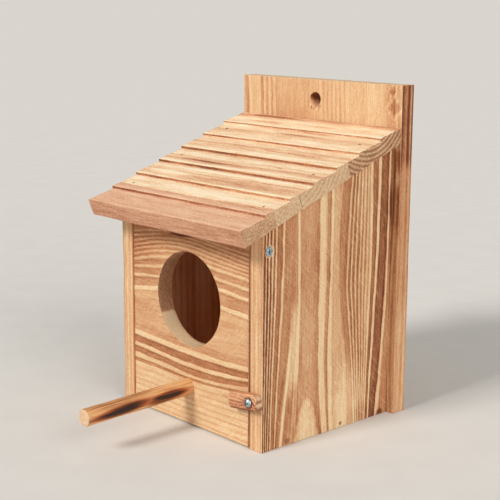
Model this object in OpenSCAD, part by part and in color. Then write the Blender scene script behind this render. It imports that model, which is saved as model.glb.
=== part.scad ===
// Lean-to birdhouse of scorched softwood boards. The front panel hangs on two screws near its top and swings
// out at the bottom for cleaning, and a wooden turn button on one screw keeps it shut.
// +Z is up, the entrance faces -Y, and +X is to the right of someone who looks at the entrance.
// The origin is on the back board's rear face, at the middle of its bottom edge.

/* [Body] */
// Width across both side panels
body_w = 144; // [115:1:180]
// Depth of the side panels, from the back board to the front
body_d = 120; // [95:1:160]
// Height of the side panels at the front
front_h = 144; // [118:1:190]
// Thickness of the back board, the side panels and the front panel
board_t = 12; // [9:0.5:15]
// Thickness of the floor
floor_t = 6; // [5:0.5:12]

/* [Back board] */
// How far the back board and the roof stand out past each side panel
back_over = 6; // [2:0.5:20]
// Height of the back board above the rear edge of the roof
back_rise = 26; // [22:0.5:60]
// Diameter of the hanging hole
hang_hole_d = 10; // [4:0.5:14]
// Distance of the hanging hole's centre below the top edge
hang_hole_drop = 14.5; // [9:0.5:15]
// Sideways place of the hanging hole's centre, from the middle
hang_hole_x = -2.5; // [-20:0.5:20]

/* [Roof] */
// Slope of the roof, falling to the front, in degrees
roof_slope = 20.5; // [12:0.5:30]
// Thickness of the roof at the crest of each course
roof_t = 12; // [9:0.5:18]
// Level distance from the front panel's face to the lower front edge of the roof
roof_over = 20; // [10:0.5:45]
// Distance from one course to the next, down the slope
course_pitch = 22.1; // [14:0.1:40]
// Height of the step between two courses
course_step = 2; // [0.5:0.1:4]
// Width of the front stave, down the slope
stave_1_w = 28.3; // [15:0.1:32]
// Width of the second stave
stave_2_w = 23.6; // [18:0.1:35]
// Width of the third stave
stave_3_w = 46.4; // [38:0.1:56]

/* [Front panel] */
// Gap between the front panel and each side panel
front_side_gap = 0.6; // [0.3:0.1:2]
// Gap below the front panel
front_bottom_gap = 1; // [0.5:0.1:5]
// Gap between the top of the front panel and the roof, at the panel's face
front_top_gap = 2; // [1.5:0.1:5]
// Gap between the closed front panel and the front edge of the floor, its stop
stop_gap = 0.2; // [0.1:0.1:1]
// Diameter of the entrance
entrance_d = 64; // [28:1:77]
// Distance of the pivot axis below the underside of the roof, at the panel's face
pivot_drop = 13.6; // [12:0.1:18]

/* [Perch] */
// Diameter of the perch dowel
perch_d = 11.6; // [6:0.1:16]
// Length of the perch in front of the panel
perch_out = 85.5; // [40:0.5:120]
// Depth of the blind hole that the perch is glued in
perch_in = 9; // [5:0.5:11]
// Height of the perch's axis at the panel's face
perch_up = 27.4; // [22:0.1:40]
// Droop of the perch, in degrees
perch_droop = 1.6; // [0:0.1:5]

/* [Turn button] */
// Length of the turn button
button_l = 26; // [22:0.5:40]
// Width of the turn button
button_w = 10.5; // [8:0.5:12]
// Thickness of the turn button
button_t = 6; // [4:0.5:9]
// Distance from the button's screw to its outer end
button_tail = 7; // [5:0.5:9]
// Height of the button's screw
button_up = 34; // [20:0.5:60]
// Angle that the closed button dips by at its long end
button_tilt = 7.5; // [0:0.5:15]
// Radius of the corners at the long end
button_round = 3; // [1:0.5:4]
// Size of the cut corner at the outer end
button_chamfer = 3; // [1:0.5:4]
// Gap behind the button, and between it and its screw's head
button_gap = 0.2; // [0.1:0.1:0.5]

/* [Screws] */
// Diameter of the screws' shanks
screw_d = 3.5; // [3:0.1:4]
// Length of the screws under the head
screw_l = 28; // [24:1:40]
// Diameter of the screws' heads
screw_head_d = 6; // [5.8:0.1:8]
// Height of the button screw's domed head
screw_head_h = 1.9; // [1.6:0.1:2.6]
// Length of each slot in the cross recess
drive_l = 3.4; // [2.6:0.1:3.4]
// Width of each slot in the cross recess
drive_w = 0.9; // [0.6:0.1:1.2]
// Depth of the cross recess
drive_depth = 1.2; // [0.8:0.1:1.6]
// Radial play between a screw's shank and the hole that turns on it
screw_play = 0.05; // [0.02:0.01:0.1]
// Play around a pivot screw's head in its countersink
head_play = 0.4; // [0.3:0.05:0.8]

/* [Nails] */
// Diameter of the nails' shanks
nail_d = 1.5; // [1.2:0.1:2]
// Length of the nails
nail_l = 30; // [22:1:32]
// Diameter of the nails' heads
nail_head_d = 2.6; // [2:0.1:3.5]
// Thickness of the nails' heads
nail_head_t = 0.6; // [0.4:0.1:1]
// Depth of the nails' heads below the surface
nail_sink = 0.3; // [0.2:0.1:1]
// Distance of the first roof nails behind the front edge of the roof, up the slope
roof_nail_front = 31.8; // [30.5:0.1:45]
// Distance of the last roof nails from the roof's rear edge, down the slope
roof_nail_rear = 30.2; // [25:0.1:38]
// Distance of the first floor nails behind the panels' front edges
floor_nail_front = 23; // [18:0.5:35]
// Distance from the first floor nails to the second
floor_nail_step = 50; // [20:0.5:55]
// Height of the lowest back nails
back_nail_low = 30; // [15:1:50]
// Distance of the highest back nails below the side panels' rear corners
back_nail_high = 40; // [35:1:60]

/* [Hidden] */
$fn = 64;
LEFT = -1;
RIGHT = 1;
past = 1;           // how far a cut runs past the face it opens

// Body: the side panels stand between the back board and the front plane.
inner_w = body_w - 2 * board_t;
back_y = -board_t;
front_y = back_y - body_d;
side_mid_x = body_w / 2 - board_t / 2;
rear_h = front_h + body_d * tan(roof_slope);

// Roof, in its own plane: u runs up the slope from the lower front edge, n stands square to it.
roof_run = body_d + roof_over;
eave_z = front_h - roof_over * tan(roof_slope);
roof_l = (roof_run + roof_t * sin(roof_slope)) / cos(roof_slope);
courses = ceil(roof_l / course_pitch);
first_crest = roof_l - courses * course_pitch;

// Back board
back_w = body_w + 2 * back_over;
back_h = rear_h + roof_t / cos(roof_slope) + back_rise;

// Front panel: the pivot axis is at mid-thickness, and the entrance is midway between perch and top edge.
door_w = inner_w - 2 * front_side_gap;
door_top = front_h - front_top_gap;
door_h = door_top - front_bottom_gap;
pivot_y = front_y + board_t / 2;
pivot_z = front_h - pivot_drop;
entrance_z = (perch_up + perch_d / 2 + door_top) / 2;

// Fasteners
head_fall = screw_head_d / 2 - screw_d / 2;       // depth of a pivot screw's 90 degree head
sink_fall = head_fall + 2 * head_play;            // depth of its countersink, from the panel's face
roof_nail_us = [roof_nail_front, (roof_nail_front + roof_l - roof_nail_rear) / 2, roof_l - roof_nail_rear];
floor_nail_ys = [front_y + floor_nail_front, front_y + floor_nail_front + floor_nail_step];
back_nail_top = rear_h - back_nail_high;
back_nail_zs = [back_nail_low, (back_nail_low + back_nail_top) / 2, back_nail_top];

// Height of the stepped top face above the underside, at a place up the slope
function course_top(u) =
    let (along = (u - first_crest) / course_pitch)
    roof_t - course_step * (along - floor(along));

// ---- Fasteners: each stands on its head's top at z = 0 and points down -Z ----

module nail() {
    tip = 1.5 * nail_d;
    rotate_extrude()
        polygon([
            [0, 0], [nail_head_d / 2, 0], [nail_head_d / 2, -nail_head_t],
            [nail_d / 2, -nail_head_t], [nail_d / 2, tip - nail_l], [0, -nail_l]
        ]);
}

// What a driven nail takes out of the wood, with the dent above its sunk head
module nail_cut() {
    nail();
    cylinder(d = nail_head_d, h = nail_sink + past);
}

module cross_recess(top) {
    for (turn = [0, 90])
        rotate([0, 0, turn])
            translate([-drive_l / 2, -drive_w / 2, top - drive_depth])
                cube([drive_l, drive_w, drive_depth + past]);
}

// Pivot screw: countersunk head with its flat top at z = 0
module pivot_screw() {
    tip = screw_d;
    difference() {
        rotate_extrude()
            polygon([
                [0, 0], [screw_head_d / 2, 0], [screw_d / 2, -head_fall],
                [screw_d / 2, tip - screw_l], [0, -screw_l]
            ]);
        cross_recess(0);
    }
}

// Button screw: domed head that stands above z = 0, the plane that the head bears on
module button_screw() {
    tip = screw_d;
    neck = 0.1;                                   // how far the shank runs up into the head
    dome_r = (pow(screw_head_d / 2, 2) + pow(screw_head_h, 2)) / (2 * screw_head_h);
    difference() {
        union() {
            rotate_extrude()
                polygon([
                    [0, neck], [screw_d / 2, neck], [screw_d / 2, tip - screw_l], [0, -screw_l]
                ]);
            intersection() {
                translate([0, 0, screw_head_h - dome_r])
                    sphere(r = dome_r);
                cylinder(d = screw_head_d + past, h = screw_head_h + past);
            }
        }
        cross_recess(screw_head_h);
    }
}

// ---- Places ----

// On the roof, at u up the slope and n above its underside, with +Z square to the slope
module on_roof(x, u, n) {
    translate([x, front_y - roof_over, eave_z])
        rotate([roof_slope, 0, 0])
            translate([0, u, n])
                children();
}

module at_roof_nails(side) {
    for (u = roof_nail_us)
        on_roof(side * side_mid_x, u, course_top(u) - nail_sink)
            children();
}

module at_floor_nails(side) {
    for (y = floor_nail_ys)
        translate([side * (body_w / 2 - nail_sink), y, floor_t / 2])
            rotate([0, side * 90, 0])
                children();
}

module at_back_nails(side) {
    for (z = back_nail_zs)
        translate([side * side_mid_x, -nail_sink, z])
            rotate([-90, 0, 0])
                children();
}

// The flat head lies a head_play under the side panel's outer face
module at_pivot(side) {
    translate([side * (body_w / 2 - head_play), pivot_y, pivot_z])
        rotate([0, side * 90, 0])
            children();
}

// The head's bearing plane is in front of the button
module at_button_screw() {
    translate([side_mid_x, front_y - button_t - 2 * button_gap, button_up])
        rotate([90, 0, 0])
            children();
}

// The perch's axis where it leaves the panel, with +Z out along the perch
module at_perch() {
    translate([0, front_y, perch_up])
        rotate([90 + perch_droop, 0, 0])
            children();
}

// ---- Body ----

module back_board() {
    color("burlywood")
        difference() {
            translate([-back_w / 2, back_y, 0])
                cube([back_w, board_t, back_h]);
            translate([hang_hole_x, back_y - past, back_h - hang_hole_drop])
                rotate([-90, 0, 0])
                    cylinder(d = hang_hole_d, h = board_t + 2 * past);
            for (side = [LEFT, RIGHT])
                at_back_nails(side) nail_cut();
        }
}

// A side panel's outline, pushed through its thickness
module side_blank(side) {
    translate([side * side_mid_x, 0, 0])
        rotate([90, 0, 90])
            linear_extrude(board_t, center = true)
                polygon([[front_y, 0], [back_y, 0], [back_y, rear_h], [front_y, front_h]]);
}

// The hole and countersink that a pivot screw turns in
module pivot_seat(side) {
    at_pivot(side) {
        translate([0, 0, -board_t - past])
            cylinder(r = screw_d / 2 + screw_play, h = board_t + 2 * past);
        translate([0, 0, -head_fall - head_play])
            cylinder(r1 = screw_d / 2, r2 = screw_d / 2 + sink_fall, h = sink_fall);
        translate([0, 0, head_play])
            cylinder(r = screw_d / 2 + sink_fall, h = past);
    }
}

module side_panel(side) {
    difference() {
        side_blank(side);
        pivot_seat(side);
        at_roof_nails(side) nail_cut();
        at_floor_nails(side) nail_cut();
        at_back_nails(side) nail_cut();
        if (side == RIGHT)
            at_button_screw() button_screw();
    }
}

module left_side() {
    color("peru")
        side_panel(LEFT);
}

module right_side() {
    color("peru")
        side_panel(RIGHT);
}

module floor_board() {
    color("tan")
        difference() {
            translate([-inner_w / 2, front_y + board_t + stop_gap, 0])
                cube([inner_w, body_d - board_t - stop_gap, floor_t]);
            for (side = [LEFT, RIGHT])
                at_floor_nails(side) nail_cut();
        }
}

// ---- Roof: four staves glued edge to edge, with stepped courses cut across them ----

// Stepped outline in u and n, square at the front and plumb against the back board
module roof_outline() {
    crest = [for (i = [0 : courses]) first_crest + i * course_pitch];
    steps = [for (i = [0 : courses - 1]) each [[crest[i], roof_t], [crest[i + 1], roof_t - course_step]]];
    lower_l = roof_run / cos(roof_slope);
    intersection() {
        polygon(concat([[first_crest, 0]], steps, [[crest[courses], 0]]));
        polygon([[0, 0], [lower_l, 0], [roof_l, roof_t], [roof_l, roof_t + past], [0, roof_t + past]]);
    }
}

module roof_stave(u_from, u_to) {
    difference() {
        on_roof(0, 0, 0)
            rotate([90, 0, 90])
                linear_extrude(back_w, center = true)
                    intersection() {
                        roof_outline();
                        translate([u_from, 0])
                            square([u_to - u_from, roof_t + past]);
                    }
        for (side = [LEFT, RIGHT])
            at_roof_nails(side) nail_cut();
    }
}

joint_12 = stave_1_w;
joint_23 = joint_12 + stave_2_w;
joint_34 = joint_23 + stave_3_w;

module roof_stave_1() {
    color("rosybrown")
        roof_stave(0, joint_12);
}

module roof_stave_2() {
    color("navajowhite")
        roof_stave(joint_12, joint_23);
}

module roof_stave_3() {
    color("wheat")
        roof_stave(joint_23, joint_34);
}

module roof_stave_4() {
    color("burlywood")
        roof_stave(joint_34, roof_l);
}

// ---- Front panel and perch ----

module perch_dowel() {
    at_perch()
        translate([0, 0, -perch_in])
            cylinder(d = perch_d, h = perch_in + perch_out);
}

module front_door() {
    color("sandybrown")
        difference() {
            translate([-door_w / 2, front_y, front_bottom_gap])
                cube([door_w, board_t, door_h]);
            translate([0, front_y - past, entrance_z])
                rotate([-90, 0, 0])
                    cylinder(d = entrance_d, h = board_t + 2 * past, $fn = 128);
            perch_dowel();
            for (side = [LEFT, RIGHT])
                at_pivot(side) pivot_screw();
        }
}

module perch() {
    color("chocolate")
        perch_dowel();
}

module pivot_screw_left() {
    color("lightsteelblue")
        at_pivot(LEFT) pivot_screw();
}

module pivot_screw_right() {
    color("lightsteelblue")
        at_pivot(RIGHT) pivot_screw();
}

// ---- Turn button ----

// Outline seen from the front, with the screw at the origin and the long end at -X
module button_outline() {
    long_end = button_tail - button_l;
    difference() {
        union() {
            translate([long_end + button_round, -button_w / 2])
                square([button_l - button_round, button_w]);
            translate([long_end, button_round - button_w / 2])
                square([button_round, button_w - 2 * button_round]);
            for (end = [-1, 1])
                translate([long_end + button_round, end * (button_w / 2 - button_round)])
                    circle(r = button_round);
        }
        polygon([
            [button_tail - button_chamfer, button_w / 2 + past],
            [button_tail - button_chamfer, button_w / 2],
            [button_tail, button_w / 2 - button_chamfer],
            [button_tail + past, button_w / 2 - button_chamfer],
            [button_tail + past, button_w / 2 + past]
        ]);
        circle(r = screw_d / 2 + screw_play);
    }
}

module turn_button() {
    color("indianred")
        translate([side_mid_x, front_y - button_gap, button_up])
            rotate([0, -button_tilt, 0])
                rotate([90, 0, 0])
                    linear_extrude(button_t)
                        button_outline();
}

module turn_button_screw() {
    color("silver")
        at_button_screw() button_screw();
}

// ---- Nails ----

module roof_nails_left() {
    color("dimgray")
        at_roof_nails(LEFT) nail();
}

module roof_nails_right() {
    color("dimgray")
        at_roof_nails(RIGHT) nail();
}

module floor_nails_left() {
    color("dimgray")
        at_floor_nails(LEFT) nail();
}

module floor_nails_right() {
    color("dimgray")
        at_floor_nails(RIGHT) nail();
}

module back_nails_left() {
    color("dimgray")
        at_back_nails(LEFT) nail();
}

module back_nails_right() {
    color("dimgray")
        at_back_nails(RIGHT) nail();
}

back_board();
left_side();
right_side();
floor_board();
roof_stave_1();
roof_stave_2();
roof_stave_3();
roof_stave_4();
front_door();
perch();
pivot_screw_left();
pivot_screw_right();
turn_button();
turn_button_screw();
roof_nails_left();
roof_nails_right();
floor_nails_left();
floor_nails_right();
back_nails_left();
back_nails_right();
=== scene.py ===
"""Birdhouse of charred and brushed pine: boards, stepped roof staves, tip-out front, perch and turn button.

Every board is a welded lattice of faces with eased edges. Each point carries four values that the wood
materials read: "ring", the place across the growth rings in mm; "tone", a soft lightening or darkening
that one board has in one place, and in some places painted shade and painted highlights; "cut", which is
1 where the saw crossed the grain; and "inside", which is 1 where the wood was toasted but never brushed.
"""

import functools
import math

import bpy
import numpy as np
from mathutils import Matrix, Vector


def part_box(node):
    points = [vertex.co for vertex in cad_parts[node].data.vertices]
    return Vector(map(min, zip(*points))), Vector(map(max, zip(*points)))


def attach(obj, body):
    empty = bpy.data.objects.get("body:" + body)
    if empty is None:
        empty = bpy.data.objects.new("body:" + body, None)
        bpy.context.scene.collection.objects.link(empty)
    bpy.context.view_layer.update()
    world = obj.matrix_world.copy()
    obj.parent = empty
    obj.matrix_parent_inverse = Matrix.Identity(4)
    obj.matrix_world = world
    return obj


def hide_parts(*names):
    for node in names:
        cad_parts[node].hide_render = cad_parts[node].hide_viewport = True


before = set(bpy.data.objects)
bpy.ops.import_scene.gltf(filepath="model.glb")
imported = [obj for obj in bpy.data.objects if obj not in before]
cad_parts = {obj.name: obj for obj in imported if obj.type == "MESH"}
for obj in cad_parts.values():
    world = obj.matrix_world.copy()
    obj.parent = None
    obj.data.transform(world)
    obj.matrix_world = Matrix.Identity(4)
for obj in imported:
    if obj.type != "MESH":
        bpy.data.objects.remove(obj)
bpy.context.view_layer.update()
MM = 0.001


def box_mm(node):
    """A CAD node's lowest and highest corners, in mm."""
    lo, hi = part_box(node)
    return np.array(lo) / MM, np.array(hi) / MM


# ---- Places, in mm, worked out from the frame ----

side_lo, side_hi = box_mm("right_side")
door_lo, door_hi = box_mm("front_door")
back_lo, back_hi = box_mm("back_board")
floor_lo, floor_hi = box_mm("floor_board")
roof_lo, roof_hi = box_mm("roof_stave_4")
screw_lo, screw_hi = box_mm("pivot_screw_right")

BOARD_T = 12.0
FLOOR_T = 6.0
EASE = 0.6
FRONT_Y = side_lo[1]
BODY_DEPTH = side_hi[1] - side_lo[1]
SLOPE = math.radians(20.5)
RISE = BODY_DEPTH * math.tan(SLOPE)
FRONT_H = side_hi[2] - RISE
# Half the nest chamber's width, and 1 mm more: the toasted inner faces fade out under the sides.
CHAMBER_X = side_lo[0] + 1.0

# Round holes: the entrance, the hanging hole, and the pivot screw's countersink in each side.
ENTRANCE_Z = 87.6
ENTRANCE_R = 32.0
HANG_X = -2.5
HANG_Z = 213.2
HANG_R = 5.0
PIVOT_IN = 6.0
PIVOT_Z = 130.4
SINK_R = (screw_hi[2] - screw_lo[2]) / 2 + 0.8
SINK_DEPTH = 2.0

# Roof: courses and stave joints up the slope from the eave, and the eave's lower corner.
COURSE = 22.1
COURSE_STEP = 2.0
FIRST_CREST = -0.75
RISER = 0.28
STAVE_EDGES = (0.0, 28.3, 51.9, 98.3, 153.95)
EAVE_OUT = 20.0
EAVE_Y = FRONT_Y - EAVE_OUT
EAVE_Z = FRONT_H - EAVE_OUT * math.tan(SLOPE)

# Nails: places in from the front and up a side, up the slope, up the back, and out from the middle.
NAIL_R = 1.3
NAIL_DEPTH = 0.55
FLOOR_NAILS = ((23.0, 3.0), (73.0, 3.0))
ROOF_NAILS = (31.8, 77.8, 123.7)
BACK_NAILS = (30.0, 89.4, 148.9)
NAIL_OUT = 66.0

PERCH_R = 5.8
PERCH_OUT = 85.5
PERCH_IN = 9.0
PERCH_Z = 27.4
PERCH_DROOP = math.radians(1.6)

BUTTON_AT = (66.0, 34.0)
BUTTON_TILT = math.radians(7.5)
BUTTON_L = 26.0
BUTTON_W = 10.5
BUTTON_T = 6.0
BUTTON_TAIL = 7.0
BUTTON_CORNER = 3.0
BUTTON_BORE = 1.85
BUTTON_GAP = 0.2


# ---- Shapes ----


def stops(lo, hi, step, marks=(), reach=2.2, fine=0.35, ease=EASE):
    """Lattice places from lo to hi: even steps, close steps at both ends for the eased edges, and close
    steps within reach of each mark, where a nail or a screw sits."""
    edge = ease * np.array([0.0, 0.3, 0.65, 1.0])
    count = max(2, int(round((hi - lo - 2 * ease) / step)) + 1)
    even = np.linspace(lo + ease, hi - ease, count)
    close = [np.arange(-reach, reach + fine / 2, fine) + m for m in marks]
    if close:
        near = np.min([np.abs(even - m) for m in marks], axis=0) < reach + step * 0.4
        near[[0, -1]] = False
        even = even[~near]
    places = np.concatenate([lo + edge, hi - edge, even, *close])
    places = np.unique(np.round(places, 4))
    return places[(places >= lo) & (places <= hi)]


def sheet_of(fixed, value, first, second, a, b):
    """A flat grid: two axes run over a and b, and the third stays at value."""
    grid = np.zeros((len(a), len(b), 3))
    grid[..., fixed] = value
    grid[..., first] = a[:, None]
    grid[..., second] = b[None, :]
    return grid


def block_outline(a, c, centre, half):
    """The lattice points round the square block that a bore sits in, in order and closed."""
    ia = np.where(np.abs(a - centre[0]) < half + 1e-3)[0]
    ic = np.where(np.abs(c - centre[1]) < half + 1e-3)[0]
    a_in, c_in = a[ia], c[ic]
    low = np.stack([a_in[:-1], np.full(len(a_in) - 1, c_in[0])], 1)
    right = np.stack([np.full(len(c_in) - 1, a_in[-1]), c_in[:-1]], 1)
    high = np.stack([a_in[:0:-1], np.full(len(a_in) - 1, c_in[-1])], 1)
    left = np.stack([np.full(len(c_in) - 1, a_in[0]), c_in[:0:-1]], 1)
    ring = np.concatenate([low, right, high, left])
    return np.concatenate([ring, ring[:1]]), ia, ic


def slab_grids(a, c, d, bore=None):
    """The six faces of a board as (grid, flip, keep). With a bore, the square block round it is left out
    of both broad faces, and a washer of straight lines runs from the square to the circle."""
    keep = None
    grids = []
    if bore:
        centre, radius, half, rings = bore
        outline, ia, ic = block_outline(a, c, centre, half)
        keep = np.ones((len(a) - 1, len(c) - 1), bool)
        keep[ia[0] : ia[-1], ic[0] : ic[-1]] = False
        away = outline - centre
        circle = centre + away * (radius / np.linalg.norm(away, axis=1))[:, None]
        share = np.linspace(0, 1, rings)
        gap = np.mean(np.linalg.norm(outline - circle, axis=1))
        share = np.unique(np.concatenate([share, 1 - EASE * np.array([0.3, 0.65, 1.0]) / gap]))
        washer = outline[:, None] * (1 - share)[None, :, None] + circle[:, None] * share[None, :, None]
        for value, flip in ((d[0], True), (d[-1], False)):
            grid = np.concatenate([washer, np.full(washer.shape[:2] + (1,), value)], 2)
            grids.append((grid, flip, None))
        wall = np.zeros((len(circle), len(d), 3))
        wall[..., :2] = circle[:, None]
        wall[..., 2] = d[None, :]
        grids.append((wall, True, None))
    grids += [
        (sheet_of(2, d[0], 0, 1, a, c), True, keep),
        (sheet_of(2, d[-1], 0, 1, a, c), False, keep),
        (sheet_of(1, c[0], 0, 2, a, d), False, None),
        (sheet_of(1, c[-1], 0, 2, a, d), True, None),
        (sheet_of(0, a[0], 1, 2, c, d), True, None),
        (sheet_of(0, a[-1], 1, 2, c, d), False, None),
    ]
    return grids


def weld(grids):
    """Joins grids into one closed mesh: points that coincide become one. Gives points and quads."""
    points, quads, start = [], [], 0
    for grid, flip, keep in grids:
        n, m = grid.shape[:2]
        index = start + np.arange(n * m).reshape(n, m)
        quad = np.stack([index[:-1, :-1], index[1:, :-1], index[1:, 1:], index[:-1, 1:]], -1)
        quad = quad[keep] if keep is not None else quad.reshape(-1, 4)
        quads.append(quad[:, ::-1] if flip else quad)
        points.append(grid.reshape(-1, 3))
        start += n * m
    points, quads = np.concatenate(points), np.concatenate(quads)
    key = np.round(points * 2000 + 0.137).astype(np.int64)
    _, first, same = np.unique(key, axis=0, return_index=True, return_inverse=True)
    quads = same.reshape(-1)[quads]
    used = np.unique(quads)
    renumber = np.zeros(len(first), np.int64)
    renumber[used] = np.arange(len(used))
    return points[first][used], renumber[quads]


def ease_edges(points, lo, hi, ease=EASE):
    """Rounds a box's edges: a point beyond the inner box is put at the ease distance from it."""
    inner = np.clip(points, np.array(lo) + ease, np.array(hi) - ease)
    off = points - inner
    reach = np.linalg.norm(off, axis=1)
    scale = np.where(reach > 1e-9, ease / np.maximum(reach, 1e-9), 0)
    return inner + off * scale[:, None]


def ease_bore(points, centre, radius, ease=EASE):
    """Rounds the two rims of a bore through a board, in the plane of radius and depth, in the same way."""
    away = points[:, :2] - centre
    r = np.linalg.norm(away, axis=1)
    near = r < radius + ease
    inner_r = np.full(len(points), radius + ease)
    inner_d = np.clip(points[:, 2], ease, BOARD_T - ease)
    off_r, off_d = r - inner_r, points[:, 2] - inner_d
    reach = np.maximum(np.hypot(off_r, off_d), 1e-9)
    new_r, new_d = inner_r + off_r * ease / reach, inner_d + off_d * ease / reach
    out = points.copy()
    out[near, :2] = centre + away[near] / r[near, None] * new_r[near, None]
    out[near, 2] = new_d[near]
    return out


def sink(points, centre, depth_at):
    """Presses a board's outer face in round a centre: depth_at gives the depth for a distance from it."""
    r = np.hypot(points[:, 0] - centre[0], points[:, 1] - centre[1])
    on_face = np.abs(points[:, 2] - BOARD_T) < 1e-3
    points[:, 2] -= np.where(on_face, depth_at(r), 0)


def nail_dent(r, shown=1.0):
    """A small flat-bottomed dent over a nail's head, which shows the head's middle out to a distance."""
    return NAIL_DEPTH * smooth((shown + 0.25 - r) / 0.5)


def countersink(r):
    """A 45 degree cone that stops at the screw's neck."""
    return np.clip(SINK_R - r, 0, SINK_DEPTH)


def smooth(t):
    """0 to 1 with a soft start and end."""
    t = np.clip(t, 0, 1)
    return t * t * (3 - 2 * t)


def line(off, half):
    """A soft line: 1 where off is 0, and down to 0 at the half width on both sides."""
    return smooth(1 - np.abs(off) / half)


def skin(points, quads):
    """The quads turned so that the volume they close is positive, and each point's outward normal: the sum
    of its quads' cross products, made one long."""
    p = points[quads]
    volume = np.einsum("ij,ij->i", np.cross(p[:, 0], p[:, 1]), p[:, 2]).sum()
    volume += np.einsum("ij,ij->i", np.cross(p[:, 0], p[:, 2]), p[:, 3]).sum()
    quads = quads if volume > 0 else quads[:, ::-1]
    p = points[quads]
    face = np.cross(p[:, 2] - p[:, 0], p[:, 3] - p[:, 1])
    total = np.zeros_like(points)
    for corner in range(4):
        for axis in range(3):
            total[:, axis] += np.bincount(quads[:, corner], face[:, axis], len(points))
    return quads, total / np.maximum(np.linalg.norm(total, axis=1), 1e-12)[:, None]


def end_grain(along, steep=1.6, start=0.3):
    """1 where a normal points along the grain, 0 on the long faces, from its share along the grain."""
    return smooth(np.abs(along) * steep - start)


def waves(points, seed, size, count=24):
    """Smooth noise, mostly from -1 to 1: scaled sum of sine waves in seeded directions, about size mm long
    on each axis."""
    rng = np.random.default_rng(seed)
    pitch = rng.normal(size=(count, 3)) * (2 * math.pi / np.array(size)) * 0.6
    phase = rng.uniform(0, 2 * math.pi, count)
    total = np.zeros(len(points))
    for k in range(count):
        total += np.sin(points @ pitch[k] + phase[k])
    return total * math.sqrt(2 / count)


def piece(name, points, quads, values, finish, body, slot, *nodes):
    """Makes the mesh in metres from points in mm, with its point values, finish and place in the model.
    A quad with two corners in one point, at a pole, becomes a triangle."""
    repeat = quads == np.roll(quads, -1, axis=1)
    folds = repeat.sum(axis=1)
    tris = quads[folds == 1][~repeat[folds == 1]].reshape(-1, 3)
    quads = quads[folds == 0]
    mesh = bpy.data.meshes.new(name)
    mesh.vertices.add(len(points))
    mesh.vertices.foreach_set("co", (points * MM).astype(np.float32).ravel())
    loops = np.concatenate([quads.ravel(), tris.ravel()]).astype(np.int32)
    mesh.loops.add(len(loops))
    mesh.loops.foreach_set("vertex_index", loops)
    sizes = np.concatenate([np.full(len(quads), 4), np.full(len(tris), 3)]).astype(np.int32)
    starts = np.concatenate([[0], np.cumsum(sizes)[:-1]]).astype(np.int32)
    mesh.polygons.add(len(sizes))
    mesh.polygons.foreach_set("loop_start", starts)
    mesh.polygons.foreach_set("use_smooth", np.ones(len(sizes), bool))
    mesh.update(calc_edges=True)
    mesh.validate()
    for key, value in values.items():
        layer = mesh.attributes.new(key, "FLOAT", "POINT")
        layer.data.foreach_set("value", np.asarray(value, np.float32))
    made = bpy.data.objects.new(name, mesh)
    bpy.context.scene.collection.objects.link(made)
    mesh.materials.append(finish)
    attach(made, body)
    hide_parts(*nodes)


# ---- Grain ----


def curve_through(x, xs, ys):
    """A smooth curve through the points xs, ys (cubic, with the slope of its neighbours at each point)."""
    xs, ys = np.asarray(xs, float), np.asarray(ys, float)
    slope = np.gradient(ys, xs)
    x = np.clip(x, xs[0], xs[-1])
    k = np.clip(np.searchsorted(xs, x) - 1, 0, len(xs) - 2)
    width = xs[k + 1] - xs[k]
    t = (x - xs[k]) / width
    rise = ys[k + 1] - ys[k]
    low, high = slope[k] * width - rise, -slope[k + 1] * width + rise
    return ys[k] * (1 - t) + ys[k + 1] * t + t * (1 - t) * (low * (1 - t) + high * t)


def ring_between(across, along, stations, guides):
    """The ring place of each point. A guide is one ring line: its ring value and the places across the
    board where it passes the stations along it. Between two guides the value runs evenly."""
    rings = np.array([g[0] for g in guides], float)
    lines = np.stack([curve_through(along, stations, g[1]) for g in guides])
    value = np.full(len(across), rings[0])
    for k in range(len(rings) - 1):
        width = np.maximum(lines[k + 1] - lines[k], 0.05)
        share = np.clip((across - lines[k]) / width, 0, 1)
        value = np.where(across >= lines[k], rings[k] + (rings[k + 1] - rings[k]) * share, value)
    return value


def patches(across, along, table):
    """Soft oval changes of tone, strongest in the middle: each of the table's entries is its centre, its
    half width and half length, and the change."""
    tone = np.zeros(len(across))
    for centre, size, amount in table:
        off = np.hypot((across - centre[0]) / size[0], (along - centre[1]) / size[1])
        tone += amount * smooth(1.25 - off)
    return tone


def corners_of(bands, start=0.0, edge=0.5):
    """The bands as corners (ring place, char) with soft edges between them. A wide charred band is deepest
    just beside a pale line, and more so on its far side, where the growth ring ended."""
    corners, at, before = [], start, 1.0
    for k, (upper, char) in enumerate(bands):
        wide = upper - at
        after = bands[k + 1][1] if k + 1 < len(bands) else 1.0
        soft = min(edge / 2, wide * 0.3)
        charred = char > 0.3 and wide > 2.2
        corners.append((at + soft, char + 0.08 * (charred and before < 0.3)))
        if charred:
            corners.append((at + soft + 0.25 * wide, char - 0.03))
            corners.append((upper - soft - 0.3 * wide, char))
        corners.append((upper - soft, char + 0.16 * (charred and after < 0.3)))
        at, before = upper, char
    return corners


def random_bands(seed, lo, hi, wide=6.0, narrow=1.6):
    """Bands of charred wood between pale lines, as (upper edge in mm, char from 0 to 1)."""
    rng = np.random.default_rng(seed)
    bands, at = [], lo
    while at < hi:
        at += rng.uniform(0.3, 1.0) * wide
        bands.append((at, rng.uniform(0.4, 0.8)))
        at += rng.uniform(0.6, 1.5) * narrow
        bands.append((at, rng.uniform(0.08, 0.3)))
    return bands


# ---- Materials ----

MATH = "ShaderNodeMath"
MIX = "ShaderNodeMix"
NOISE = "ShaderNodeTexNoise"
RAMP = "ShaderNodeValToRGB"


def linear(code):
    """An sRGB hex colour as linear red, green, blue and alpha."""
    parts = [int(code[i : i + 2], 16) / 255 for i in (1, 3, 5)]
    return [p / 12.92 if p <= 0.04045 else ((p + 0.055) / 1.055) ** 2.4 for p in parts] + [1.0]


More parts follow.
